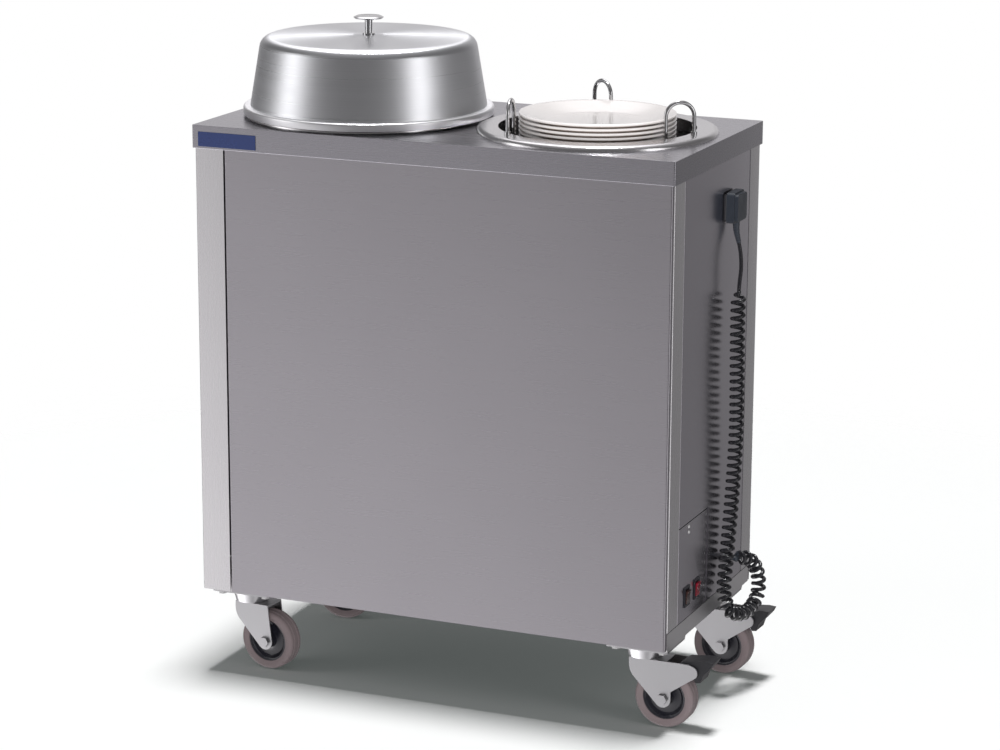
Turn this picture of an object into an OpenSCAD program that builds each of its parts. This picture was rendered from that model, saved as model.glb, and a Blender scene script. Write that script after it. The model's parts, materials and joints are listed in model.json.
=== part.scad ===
// Mobile heated plate dispenser with two sprung wells.
// The floor is at z = 0 and the origin is under the middle of the object's outline.

/* [Case] */
// Width of the case, end to end
case_w = 825; // [805:1:880]
// Depth of the case, front to back
case_d = 416; // [408:1:460]
// Height from the bottom edge of the panels to the top of the cover
case_h = 787; // [750:1:830]
// Thickness of the case's steel sheet
sheet_t = 1.2; // [0.8:0.1:1.6]
// Outside radius of the folded panel edges
fold_r = 3; // [2.5:0.5:4]
// Depth of the cover's skirt
skirt_h = 38; // [30:1:50]
// How far the cover stands out past the case on each side
cover_over = 3.5; // [2.5:0.5:6]
// Width of the post strip that shows at the left of the front
front_strip = 51; // [45:1:65]
// Width of the post strip that shows at the front of the right end
end_strip_front = 53; // [45:1:60]
// Width of the post strip that shows at the back of the right end
end_strip_back = 48; // [40:1:56]
// Dark joint between a post and the panel next to it
panel_gap = 1.5; // [1:0.5:4]
// Height of the base strip along the bottom of each end
base_strip_h = 28; // [24:1:32]

/* [Control hatch] */
// Width of the hatch in the right end
hatch_w = 136; // [126:1:150]
// Height of the hatch's top edge above the bottom of the case
hatch_top = 187; // [170:1:210]
// Width of a rocker switch's bezel
bezel_w = 24; // [22:0.5:26]
// Height of a rocker switch's bezel
bezel_h = 33; // [31:0.5:36]
// Distance between the two rocker switches
rocker_pitch = 47; // [36:1:52]

/* [Wells] */
// Steel left between a trim ring and the nearest edge of its half of the case
ring_margin = 11.25; // [8:0.25:14]
// Width of a trim ring, from its outside to its opening
ring_w = 35.5; // [34:0.5:38]
// How far a trim ring stands out past the tube under it
ring_over = 23; // [20:0.5:24]
// Height of a trim ring's brim above the cover
brim_h = 8.5; // [6:0.5:10]
// Diameter of a spring
spring_d = 13; // [10:0.5:15]

/* [Plates] */
// Room between the plates and the wall of the well
plate_room = 45; // [44:0.5:52]
// Height of one plate
plate_h = 22; // [20:0.5:26]
// Thickness of a plate
plate_t = 4.6; // [4:0.1:5]
// Rise from one plate to the next in the stack
plate_pitch = 7.2; // [7:0.1:9]
// Number of plates in the right well
plate_count = 12; // [6:1:14]
// Height of the top plate's rim above the cover
stack_rise = 32; // [20:1:40]

/* [Plate guides] */
// Diameter of a guide's wire
guide_d = 6.5; // [6:0.25:7]
// Distance between the two legs of a guide
guide_gap = 46; // [45:0.5:47]
// Height of a guide's top above the cover
guide_rise = 63; // [55:1:72]
// Length of a guide's inner leg below the cover
guide_depth = 560; // [400:10:600]

/* [Lid] */
// How far the lid's rim stands out past the trim ring
lid_over = 12; // [10.5:0.5:13]
// Width of the lid's rolled rim
lid_rim_w = 10; // [8:0.5:12]
// How far the lid's wall leans inwards, from its foot to its shoulder
lid_lean = 17.5; // [10:0.5:20]
// Height of the lid's crown above its rim
lid_h = 124.5; // [110:0.5:150]
// Thickness of the lid's metal
lid_t = 1.5; // [1:0.1:2]
// Radius of the rounded shoulder
lid_shoulder = 19; // [14:1:30]
// Diameter of the knob's disc
knob_d = 50; // [40:1:60]

/* [Castors] */
// Radius of a castor wheel
wheel_r = 50; // [46:0.5:50]
// Width of a castor's tyre
tyre_w = 32; // [28:0.5:32]
// Radius of a castor wheel's dark hub
hub_r = 36; // [32:0.5:38]
// Height of a castor from the floor to the top of its plate
castor_h = 137; // [134:0.5:140]
// Distance from the swivel axis to the axle
castor_trail = 38; // [36:0.5:40]
// Distance of the swivels from the ends of the case
castor_in_x = 57.5; // [52:0.5:67]
// Distance of the swivels from the front and the back of the case
castor_in_y = 66; // [58:0.5:70]
// Height of the pads between the castors and the case
pad_h = 8; // [8:0.5:14]

/* [Lead] */
// Diameter of the lead's cable
lead_d = 6.4; // [5.6:0.2:6.6]
// Outside diameter of the lead's curls
curl_d = 25.6; // [24:0.2:26]
// Number of curls in the lead
curls = 56; // [46:1:58]

/* [Hidden] */

// Shared values
SIDES = [-1, 1];
cut = 1;            // overrun of every cut
seat_gap = 0.3;     // gap between pieces that sit on each other but can part
run_fit = 0.05;     // radial clearance of a pin in its bore
round_fn = 96;      // facets of a large circle
small_fn = 32;      // facets of a small circle

// Castors: front left, front right, back left, back right
CASTOR_SIDE = [[-1, -1], [1, -1], [-1, 1], [1, 1]];
CASTOR_TURN = [-6, -1, 8, -2];    // the way each castor trails, in degrees from +X
axle_r = 6;
axle_head_r = 9;
axle_head_h = 5;
fork_t = 2.8;
fork_in = 37.4;
crown_h = 114;
crown_t = 3;
fork_back = 20;
fork_front = 44;
fork_tip_r = 14;
king_r = 6;
king_head_r = 11;
king_head_h = 5;
race_r = 27;
race_top_r = 33;
plate_len = 105;
plate_wid = 85;
plate_thick = 3;
bolt_r = 4;
bolt_fit = 0.2;
bolt_head_r = 7.2;
bolt_head_h = 5.3;
bolt_nut_h = 4;
bolt_x = 40;
bolt_y = 30;
ear_u = 86;
ear_z = 101;
ear_r = 11;
ear_pin_r = 3;
pedal_w = 36;
pedal_tip_u = 123;
pedal_tip_z = 121;

castor_x = case_w/2 - castor_in_x;
castor_y = case_d/2 - castor_in_y;

// The case stands on the castors and their pads, and the whole outline is centred on the origin
case_z = castor_h + pad_h;
function pedal_reach(turn) = castor_x + pedal_tip_u*cos(turn) + pedal_w/2*abs(sin(turn));
reach_right = max(pedal_reach(CASTOR_TURN[1]), pedal_reach(CASTOR_TURN[3]));
cover_w = case_w + 2*cover_over;
cover_d = case_d + 2*cover_over;
case_x = -(reach_right - cover_w/2)/2;

// Panels
return_d = 7.5;
corner_recess = 8;
corner_gap = 1.5;
inner_leg = 30;
panel_top = case_h - sheet_t - seat_gap;
panel_w = case_w - front_strip - panel_gap - corner_gap;
panel_mid = (front_strip + panel_gap - corner_gap)/2;
end_panel_w = case_d - end_strip_front - end_strip_back - 2*panel_gap;
end_panel_mid = (end_strip_front - end_strip_back)/2;
end_panel_front = -case_d/2 + end_strip_front + panel_gap;
base_gap = 1.2;
above_base = base_strip_h + base_gap;
chassis_half_d = case_d/2 - corner_recess;

// Hatch, rockers, gland and parked plug on the right end
hatch_mid = end_panel_front + hatch_w/2;
rocker_z = 66;
rocker_mid = hatch_mid - 3*panel_gap;
cutout_fit = 0.2;
bezel_rim = 2;
bezel_wall = 3.2;
bezel_depth = 22;
bezel_recess = 9;
rocker_half = 11.6;
rocker_top = 5;
rocker_dip = 3.4;
rocker_under = 4;
rocker_side_gap = 0.4;
rocker_tilt = 8;
rocker_pin_r = 1.5;
rocker_pin_len = 1.6;
key_room = bezel_w - 2*bezel_wall - bezel_rim;
screw_r = 2;
screw_head_r = 3.6;
screw_head_h = 2;
screw_len = 13;
hatch_screw_drop = 6;
hatch_screw_pitch = 9;
hatch_screw_in = 46;
bracket_t = 2;
bracket_h = 44;
thermostat_size = [26, 34, 46];
terminal_size = [60, 24, 22];
gland_y = 68;
gland_z = 80;
gland_hole_r = 6;
gland_flange_r = 10;
gland_flange_h = 5;
gland_nose = 12;
gland_nut_h = 4;
gland_tip_r = 4.4;
park_y = 58;
park_z = 672;
park_w = 42;
park_h = 42;
park_t = 3;
plug_w = 50;
plug_h = 50;
plug_depth = 19;
plug_chamfer = 6;
plug_neck_r = 5.5;
plug_neck_h = 5;
plug_exit = 12;     // distance of the lead from the right end where it leaves the plug
badge_w = 104;
badge_h = 24;
badge_t = 1;
badge_in = 11.5;
badge_drop = 10.4;

// Wells, each in the middle of its half of the case
well_x = case_w/4;
ring_r = min(well_x, case_d/2) - ring_margin;
ring_open_r = ring_r - ring_w;
tube_r = ring_r - ring_over;
ring_t = 1.5;
ring_lip = 14;
cover_hole_r = tube_r - sheet_t;
tube_t = 1.2;
tube_flange = 13;
tube_bottom = 45;
slot_w = 16;
slot_bottom = 70;
guide_pivot_r = tube_r - 5;
GUIDE_AZ = [-3, 113, 233];
GUIDE_TURN = [36, 34, 47];        // each loop's turn from the inward direction, in degrees
ARM_AZ = [55, 175, 295];
guide_tail = 70;
collar_r = 5;
collar_h = 4;
collar_z = brim_h + seat_gap;
plate_r = tube_r - plate_room;
heater_r = plate_r - 7;
heater_rod_r = 4;
heater_z = 22;
heater_leg_r = 3;

// Carriers and plates
platform_r = plate_r - 7;
platform_t = 2;
platform_hole_r = 18;
carrier_drop = 60;
leg_r = 5;
leg_ring = 45;
leg_len = 130;
spider_r = 58;
spider_t = 3;
arm_w = 14;
spring_ring = tube_r + tube_t + spring_d/2 + 2;
arm_end = spring_ring + spring_d/2;
spring_hook_r = 2;
spring_hook_h = 6;
rim_flat_r = plate_r - 41;
foot_r = rim_flat_r - 8;
foot_w = 8;
foot_h = 2.4;
stack_h = (plate_count - 1)*plate_pitch + plate_h;
stack_z = case_h + stack_rise - stack_h;
left_platform_z = case_h - carrier_drop;
right_platform_z = stack_z - seat_gap;
slot_top = left_platform_z - platform_t - leg_len + seat_gap;

// Lid
lid_r = ring_r + lid_over;
lid_wall_r = lid_r - lid_rim_w;
lid_top_r = lid_wall_r - lid_lean;
lid_shift = 7.75;
lid_seat_w = 18.5;
lid_rim_z = 9.2;
lid_roll = 4;
lid_lip = 3.5;
shoulder_low = 10;
shoulder_high = 86;
lid_rise = 2.3;
stem_r = 6.5;
stem_h = 26;
knob_t = 4.5;
boss_r = 10;
boss_h = 2;
ring_top = case_h + brim_h;

module in_case()
    translate([case_x, 0, case_z]) children();

// An outline w wide with its two front corners rounded, open towards +Y
module fold_outline(w, depth, r) {
    translate([-w/2, r]) square([w, depth - r]);
    translate([-w/2 + r, 0]) square([w - 2*r, depth]);
    for (s = SIDES) translate([s*(w/2 - r), r]) circle(r, $fn = small_fn);
}

// A sheet seen from above, its face along -Y and both edges folded back
module folded_2d(w, depth)
    difference() {
        fold_outline(w, depth, fold_r);
        translate([0, sheet_t]) fold_outline(w - 2*sheet_t, depth, fold_r - sheet_t);
    }

// The outline of a corner at the origin, with legs along +X and +Y
module corner_outline(leg_x, leg_y, r) {
    translate([r, 0]) square([leg_x - r, leg_y]);
    translate([0, r]) square([leg_x, leg_y - r]);
    translate([r, r]) circle(r, $fn = small_fn);
}

// A folded angle section seen from above
module angle_2d(leg_x, leg_y)
    difference() {
        corner_outline(leg_x, leg_y, fold_r);
        translate([sheet_t, sheet_t]) corner_outline(leg_x, leg_y, fold_r - sheet_t);
    }

// A rectangle with rounded corners, centred on the origin
module round_rect(w, d, r) {
    square([w - 2*r, d], center = true);
    square([w, d - 2*r], center = true);
    for (a = SIDES, b = SIDES) translate([a*(w/2 - r), b*(d/2 - r)]) circle(r, $fn = small_fn);
}

module top_cover()
    color("lightsteelblue") in_case() difference() {
        translate([0, 0, case_h - skirt_h])
            linear_extrude(skirt_h) round_rect(cover_w, cover_d, fold_r);
        translate([0, 0, case_h - skirt_h - cut])
            linear_extrude(skirt_h - sheet_t + cut)
            round_rect(cover_w - 2*sheet_t, cover_d - 2*sheet_t, fold_r - sheet_t);
        for (side = SIDES) translate([side*well_x, 0, case_h - sheet_t - cut])
            cylinder(h = sheet_t + 2*cut, r = cover_hole_r, $fn = round_fn);
    }

module long_panel()
    translate([panel_mid, -case_d/2, 0]) linear_extrude(panel_top) folded_2d(panel_w, return_d);

module front_panel()
    color("silver") in_case() long_panel();

module rear_panel()
    color("silver") in_case() rotate(180) long_panel();

module end_panel()
    translate([case_w/2, end_panel_mid, above_base])
        linear_extrude(panel_top - above_base) rotate(90) folded_2d(end_panel_w, return_d);

module left_end_panel()
    color("silver") in_case() rotate(180) end_panel();

module right_end_panel()
    color("silver") in_case() difference() {
        end_panel();
        translate([case_w/2 - return_d - cut, end_panel_front - cut, above_base - cut])
            cube([return_d + 2*cut, hatch_w + panel_gap + cut, hatch_top + panel_gap - above_base + cut]);
        translate([case_w/2 - sheet_t - cut, gland_y, gland_z]) rotate([0, 90, 0])
            cylinder(h = sheet_t + 2*cut, r = gland_hole_r + bolt_fit, $fn = small_fn);
    }

// Places children at each rocker's place on the hatch
module at_rocker(side)
    translate([case_w/2, rocker_mid + side*rocker_pitch/2, rocker_z]) children();

module at_hatch_screws()
    for (k = [0, 1]) translate([case_w/2, end_panel_front + hatch_screw_in,
        hatch_top - hatch_screw_drop - k*hatch_screw_pitch]) children();

module control_hatch()
    color("silver") in_case() difference() {
        translate([case_w/2, hatch_mid, above_base])
            linear_extrude(hatch_top - above_base) rotate(90) folded_2d(hatch_w, return_d);
        for (side = SIDES) at_rocker(side)
            cube([2*(sheet_t + cut), bezel_w - 2*bezel_rim, bezel_h - 2*bezel_rim], center = true);
        at_hatch_screws() rotate([0, 90, 0])
            cylinder(h = 2*(sheet_t + cut), r = screw_r + bolt_fit, center = true, $fn = small_fn);
    }

module hatch_bracket()
    color("gray") in_case() difference() {
        translate([case_w/2 - return_d - seat_gap - bracket_t, end_panel_front, hatch_top - bracket_h/2])
            cube([bracket_t, hatch_w + end_strip_back, bracket_h]);
        at_hatch_screws() translate([-return_d - bracket_t, 0, 0]) rotate([0, 90, 0])
            cylinder(h = 2*(bracket_t + cut), r = screw_r + bolt_fit, center = true, $fn = small_fn);
    }

module hatch_screws()
    color("gainsboro") in_case() at_hatch_screws() rotate([0, 90, 0]) {
        cylinder(h = screw_head_h, r1 = screw_head_r, r2 = screw_r, $fn = small_fn);
        translate([0, 0, -screw_len]) cylinder(h = screw_len, r = screw_r, $fn = small_fn);
    }

// A post whose folded corner is the corner of the case, its end leg stopping above the base strip
module outer_post()
    difference() {
        translate([-case_w/2, -case_d/2, 0])
            linear_extrude(panel_top) angle_2d(front_strip, end_strip_back);
        translate([-case_w/2 - cut, -case_d/2 + corner_recess, -cut])
            cube([front_strip + cut, case_d/2, above_base + cut]);
        translate([-case_w/2 - cut, -case_d/2 + sheet_t, -cut])
            cube([fold_r + cut, corner_recess, above_base + cut]);
    }

// A post that stands behind the edge of the long panel
module inner_post()
    translate([case_w/2, -case_d/2 + corner_recess, above_base])
        linear_extrude(panel_top - above_base)
        mirror([1, 0]) angle_2d(inner_leg, end_strip_front - corner_recess);

module post_front_left()
    color("gainsboro") in_case() outer_post();

module post_back_right()
    color("gainsboro") in_case() rotate(180) outer_post();

module post_front_right()
    color("gainsboro") in_case() inner_post();

module post_back_left()
    color("gainsboro") in_case() rotate(180) inner_post();

module chassis_base()
    color("darkgray") {
        chassis_floor();
        chassis_pads();
    }

module chassis_floor()
    in_case() difference() {
        translate([-case_w/2, -chassis_half_d, 0]) cube([case_w, 2*chassis_half_d, base_strip_h]);
        translate([-case_w/2 + sheet_t, -chassis_half_d + sheet_t, sheet_t])
            cube([case_w - 2*sheet_t, 2*(chassis_half_d - sheet_t), base_strip_h]);
    }

module at_castor(i)
    translate([case_x + CASTOR_SIDE[i].x*castor_x, CASTOR_SIDE[i].y*castor_y, 0]) children();

module at_bolts()
    for (a = SIDES, b = SIDES) translate([a*bolt_x, b*bolt_y, 0]) children();

// Short pressed channels, welded under the base, that space the castor plates from the case
module chassis_pads()
    for (i = [0:3]) at_castor(i) difference() {
        translate([-plate_len/2, -plate_wid/2, castor_h]) cube([plate_len, plate_wid, pad_h]);
        translate([-plate_len/2 + plate_thick, -plate_wid/2 - cut, castor_h + plate_thick])
            cube([plate_len - 2*plate_thick, plate_wid + 2*cut, pad_h]);
        at_bolts() translate([0, 0, castor_h - cut])
            cylinder(h = plate_thick + 2*cut, r = bolt_r + bolt_fit, $fn = small_fn);
    }

module castor_plates()
    color("silver") for (i = [0:3]) at_castor(i) difference() {
        union() {
            translate([0, 0, castor_h - plate_thick])
                linear_extrude(plate_thick) round_rect(plate_len, plate_wid, plate_thick);
            translate([0, 0, crown_h + seat_gap])
                cylinder(h = castor_h - plate_thick - crown_h, r1 = race_r, r2 = race_top_r, $fn = round_fn);
            translate([0, 0, crown_h - crown_t - seat_gap - king_head_h])
                cylinder(h = king_head_h, r = king_head_r, $fn = small_fn);
            translate([0, 0, crown_h - crown_t - king_head_h])
                cylinder(h = castor_h - crown_h, r = king_r, $fn = small_fn);
        }
        at_bolts() translate([0, 0, castor_h - plate_thick - cut])
            cylinder(h = plate_thick + 2*cut, r = bolt_r + bolt_fit, $fn = small_fn);
    }

// Bolts through the castor plates and pads, and a screw under each corner post
module chassis_fasteners()
    color("dimgray") {
        for (i = [0:3]) at_castor(i) at_bolts() {
            translate([0, 0, castor_h - plate_thick - bolt_head_h])
                cylinder(h = bolt_head_h, r = bolt_head_r, $fn = 6);
            translate([0, 0, castor_h - plate_thick])
                cylinder(h = 2*plate_thick + bolt_nut_h, r = bolt_r, $fn = small_fn);
            translate([0, 0, castor_h + plate_thick])
                cylinder(h = bolt_nut_h, r = bolt_head_r, $fn = 6);
        }
        in_case() for (c = CASTOR_SIDE)
            translate([c.x*(case_w/2 - inner_leg), c.y*(chassis_half_d - corner_recess), -screw_head_h])
            cylinder(h = screw_head_h, r1 = screw_r, r2 = screw_head_r, $fn = small_fn);
    }

// One half of a fork's outline, in the plane of the wheel: u along the trail, z up
function circle_part(c, r, from, to, steps) =
    [for (i = [0:steps]) let (a = from + (to - from)*i/steps) c + r*[cos(a), sin(a)]];

axle_at = [castor_trail, wheel_r];
ear_at = [ear_u, ear_z];
arc_steps = 10;
waist_left = 180;
waist_low = 215;
tip_left = 225;
tip_right = 360;
ear_low = -60;
ear_high = 80;
fork_waist_z = crown_h - fork_back/2;

module plain_cheek()
    polygon(concat(
        [[-fork_back, crown_h], [-fork_back, fork_waist_z]],
        circle_part([fork_tip_r, fork_waist_z], fork_back + fork_tip_r, waist_left, waist_low, arc_steps),
        circle_part(axle_at, fork_tip_r, tip_left, tip_right, arc_steps),
        [[fork_front, crown_h]]));

module braked_cheek()
    polygon(concat(
        [[-fork_back, crown_h], [-fork_back, fork_waist_z]],
        circle_part([fork_tip_r, fork_waist_z], fork_back + fork_tip_r, waist_left, waist_low, arc_steps),
        circle_part(axle_at, fork_tip_r, tip_left, tip_right, arc_steps),
        [[axle_at.x + fork_tip_r, axle_at.y + fork_tip_r]],
        circle_part(ear_at, ear_r, ear_low, ear_high, arc_steps),
        [[ear_u - ear_r/2, crown_h]]));

// A castor's fork at its rest heading: crown, cheeks, axle bolt and, on a braked one, the pedal's pin
module fork(i, braked) {
    outer = fork_in + 2*fork_t;
    axle_len = outer + 2*axle_head_h;
    color("lightgray") at_castor(i) rotate(CASTOR_TURN[i]) {
        difference() {
            union() {
                translate([-fork_back, -outer/2, crown_h - crown_t])
                    cube([fork_back + fork_front, outer, crown_t]);
                for (s = SIDES) translate([0, s*(outer - fork_t)/2 + fork_t/2, 0]) rotate([90, 0, 0])
                    linear_extrude(fork_t) if (braked) braked_cheek(); else plain_cheek();
            }
            translate([0, 0, crown_h - crown_t - cut])
                cylinder(h = crown_t + 2*cut, r = king_r + run_fit, $fn = small_fn);
            translate([castor_trail, outer, wheel_r]) rotate([90, 0, 0])
                cylinder(h = 2*outer, r = axle_r, $fn = small_fn);
            if (braked) translate([ear_u, outer, ear_z]) rotate([90, 0, 0])
                cylinder(h = 2*outer, r = ear_pin_r, $fn = small_fn);
        }
        translate([castor_trail, axle_len/2, wheel_r]) rotate([90, 0, 0]) {
            cylinder(h = axle_len, r = axle_r, $fn = small_fn);
            for (z = [0, axle_len - axle_head_h]) translate([0, 0, z])
                cylinder(h = axle_head_h, r = axle_head_r, $fn = 6);
        }
        if (braked) translate([ear_u, outer/2, ear_z]) rotate([90, 0, 0])
            cylinder(h = outer, r = ear_pin_r, $fn = small_fn);
    }
}

module at_wheel(i)
    at_castor(i) rotate(CASTOR_TURN[i]) translate([castor_trail, 0, wheel_r]) rotate([90, 0, 0]) children();

tyre_round = 6;

module tyre(i)
    color("rosybrown") at_wheel(i) rotate_extrude($fn = round_fn) difference() {
        union() {
            translate([hub_r, -tyre_w/2]) square([wheel_r - hub_r - tyre_round, tyre_w]);
            translate([hub_r, -tyre_w/2 + tyre_round]) square([wheel_r - hub_r, tyre_w - 2*tyre_round]);
            for (s = SIDES) translate([wheel_r - tyre_round, s*(tyre_w/2 - tyre_round)])
                circle(tyre_round, $fn = small_fn);
        }
        translate([0, -tyre_w]) square([hub_r, 2*tyre_w]);
    }

hub_boss_r = 13;
hub_web_t = 9;
hub_rim_t = 5;
hub_len = fork_in - 2*seat_gap;

module hub(i)
    color("midnightblue") at_wheel(i) rotate_extrude($fn = round_fn) {
        translate([axle_r + run_fit, -hub_len/2]) square([hub_boss_r - axle_r - run_fit, hub_len]);
        translate([hub_boss_r, -hub_web_t/2]) square([hub_r - hub_rim_t - hub_boss_r, hub_web_t]);
        translate([hub_r - hub_rim_t, -tyre_w/2 + fork_t]) square([hub_rim_t, tyre_w - 2*fork_t]);
    }

// The brake pedal's outline, up and unlocked
module pedal(i)
    color("black") at_castor(i) rotate(CASTOR_TURN[i])
    translate([0, pedal_w/2, 0]) rotate([90, 0, 0]) linear_extrude(pedal_w) difference() {
        polygon([
            [ear_u - 24, ear_z + 10], [ear_u - 13, ear_z + 17], [pedal_tip_u - 12, pedal_tip_z + 1],
            [pedal_tip_u, pedal_tip_z], [pedal_tip_u - 4, pedal_tip_z - 8], [ear_u + 19, ear_z - 4],
            [ear_u + 15, ear_z - 16], [ear_u + 7, ear_z - 17], [ear_u + 3, ear_z - 10],
            [ear_u - 9, ear_z - 10], [ear_u - 22, ear_z + 2]]);
        translate(ear_at) circle(ear_pin_r + run_fit, $fn = small_fn);
    }

// A quarter of a ring's section, from its outer edge up to its top
module rolled_2d(r, t)
    intersection() {
        difference() {
            circle(r, $fn = round_fn);
            circle(r - t, $fn = round_fn);
        }
        square(r);
    }

// The trim ring: a rolled outer edge standing on the cover, a flat brim, and a lip down the well
module well_ring(side)
    color("gainsboro") in_case() translate([side*well_x, 0, case_h]) difference() {
        rotate_extrude($fn = round_fn) {
            translate([ring_r - brim_h, 0]) rolled_2d(brim_h, ring_t);
            translate([ring_open_r, brim_h - ring_t]) square([ring_r - brim_h - ring_open_r, ring_t]);
            translate([ring_open_r, -ring_lip]) square([ring_t, ring_lip + brim_h]);
        }
        for (az = GUIDE_AZ) rotate(az) translate([guide_pivot_r, 0, brim_h - ring_t - cut])
            cylinder(h = ring_t + 2*cut, r = guide_d/2 + run_fit, $fn = small_fn);
    }

module well_tube(side)
    color("lightgray") in_case() translate([side*well_x, 0, 0]) difference() {
        union() {
            translate([0, 0, tube_bottom])
                cylinder(h = case_h - sheet_t - tube_bottom, r = tube_r + tube_t, $fn = round_fn);
            translate([0, 0, case_h - sheet_t - tube_t])
                cylinder(h = tube_t, r = tube_r + tube_flange, $fn = round_fn);
        }
        translate([0, 0, tube_bottom - cut])
            cylinder(h = case_h, r = tube_r, $fn = round_fn);
        for (az = ARM_AZ) rotate(az) translate([tube_r/2, -slot_w/2, slot_bottom])
            cube([tube_r, slot_w, slot_top - slot_bottom]);
    }

module heater(side)
    color("dimgray") in_case() translate([side*well_x, 0, 0]) {
        translate([0, 0, heater_z]) rotate_extrude($fn = round_fn)
            translate([heater_r, 0]) circle(heater_rod_r, $fn = small_fn);
        for (az = ARM_AZ) rotate(az) translate([heater_r, 0, sheet_t])
            cylinder(h = heater_z - sheet_t, r = heater_leg_r, $fn = small_fn);
    }

module thermostat()
    color("whitesmoke") in_case()
    translate([
        case_w/2 - return_d - seat_gap - bracket_t - thermostat_size.x,
        hatch_mid - thermostat_size.y/2, hatch_top - bracket_h/2])
    cube(thermostat_size);

module terminal_block()
    color("ivory") in_case()
    translate([case_w/2 - inner_leg - terminal_size.x, -chassis_half_d + 2*inner_leg/3, sheet_t])
    cube(terminal_size);

module rocker_bezels() {
    body_w = bezel_w - 2*(bezel_rim + cutout_fit);
    body_h = bezel_h - 2*(bezel_rim + cutout_fit);
    color("black") in_case() for (side = SIDES) at_rocker(side) difference() {
        union() {
            translate([0, -bezel_w/2, -bezel_h/2]) cube([bezel_rim, bezel_w, bezel_h]);
            translate([-bezel_depth, -body_w/2, -body_h/2]) cube([bezel_depth, body_w, body_h]);
        }
        translate([-bezel_recess, -key_room/2, -bezel_h/2 + bezel_wall])
            cube([bezel_recess + 2*bezel_rim, key_room, bezel_h - 2*bezel_wall]);
        translate([0, body_w/2, 0]) rotate([90, 0, 0])
            cylinder(h = body_w, r = rocker_pin_r + run_fit, $fn = small_fn);
    }
}

// A rocker's key, tilted to its off side at rest
module rocker(side, paint) {
    key_w = key_room - 2*rocker_side_gap;
    pin_span = key_room + 2*rocker_pin_len;
    color(paint) in_case() at_rocker(side) rotate([0, rocker_tilt, 0]) {
        translate([0, key_w/2, 0]) rotate([90, 0, 0]) linear_extrude(key_w)
            polygon([
                [-rocker_under, -rocker_half + rocker_under], [-rocker_under, rocker_half - rocker_under],
                [rocker_top, rocker_half], [rocker_dip, 0], [rocker_top, -rocker_half]]);
        translate([0, pin_span/2, 0]) rotate([90, 0, 0])
            cylinder(h = pin_span, r = rocker_pin_r, $fn = small_fn);
    }
}

module cable_gland()
    color("black") in_case() translate([case_w/2, gland_y, gland_z]) rotate([0, 90, 0]) {
        cylinder(h = gland_flange_h, r = gland_flange_r, $fn = 6);
        cylinder(h = gland_nose, r1 = gland_flange_r - bezel_rim, r2 = gland_tip_r, $fn = small_fn);
        translate([0, 0, -sheet_t - gland_nut_h]) {
            cylinder(h = gland_nut_h + sheet_t, r = gland_hole_r, $fn = small_fn);
            cylinder(h = gland_nut_h, r = gland_flange_r, $fn = 6);
        }
    }

module park_socket()
    color("gray") in_case() translate([case_w/2, park_y, park_z]) rotate([0, 90, 0])
    linear_extrude(park_t) round_rect(park_h, park_w, fold_r);

module mains_plug()
    color("black") in_case() translate([case_w/2 + park_t, park_y, park_z]) {
        rotate([0, 90, 0]) {
            linear_extrude(plug_depth - plug_chamfer) round_rect(plug_h, plug_w, plug_chamfer);
            translate([0, 0, plug_depth - plug_chamfer]) linear_extrude(plug_chamfer)
                round_rect(plug_h - plug_chamfer, plug_w - plug_chamfer, plug_chamfer);
        }
        translate([plug_exit - park_t, 0, -plug_h/2 - plug_neck_h])
            cylinder(h = plug_neck_h + plug_chamfer, r = plug_neck_r, $fn = small_fn);
    }

module badge_plate()
    color("navy") in_case()
    translate([-cover_w/2 + badge_in, -cover_d/2 - badge_t, case_h - badge_drop - badge_h])
    cube([badge_w, badge_t, badge_h]);

// A U-shaped guide wire: the outer leg turns in the trim ring and the inner leg lines up the plates
module guide(side, k) {
    top = guide_rise - guide_gap/2 - guide_d/2;
    color("silver") in_case() translate([side*well_x, 0, case_h]) rotate(GUIDE_AZ[k])
    translate([guide_pivot_r, 0, 0]) rotate(180 + GUIDE_TURN[k]) {
        translate([0, 0, -guide_tail]) cylinder(h = guide_tail + top, r = guide_d/2, $fn = small_fn);
        translate([guide_gap, 0, -guide_depth])
            cylinder(h = guide_depth + top, r = guide_d/2, $fn = small_fn);
        translate([guide_gap/2, 0, top]) rotate([90, 0, 0]) rotate_extrude(angle = 180, $fn = round_fn)
            translate([guide_gap/2, 0]) circle(guide_d/2, $fn = small_fn);
        translate([0, 0, collar_z]) cylinder(h = collar_h, r = collar_r, $fn = small_fn);
    }
}

// The lid's outline: outside wall on the way up, inside wall on the way down
module lid_outline(r_foot, r_top, h, shoulder, rise)
    polygon(concat(
        [[0, 0], [r_foot, 0]],
        circle_part([r_top - shoulder, h - rise - shoulder], shoulder, shoulder_low, shoulder_high,
            2*arc_steps),
        [[0, h]]));

module at_lid()
    in_case() translate([-well_x + lid_shift, 0, ring_top + seat_gap]) children();

// The lid's foot: a seat turned inwards, and a rim turned outwards with its edge rolled down
module lid_foot_2d() {
    rim_in = lid_wall_r - 1.5*lid_t;
    translate([lid_wall_r - lid_seat_w, 0]) square([lid_seat_w - lid_t/2, lid_t]);
    translate([rim_in, lid_rim_z - lid_t]) square([lid_r - lid_roll - rim_in, lid_t]);
    translate([lid_r - lid_roll, lid_rim_z - lid_roll]) rolled_2d(lid_roll, lid_t);
    translate([lid_r - lid_t, -lid_lip]) square([lid_t, lid_lip + lid_rim_z - lid_roll]);
}

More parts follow.
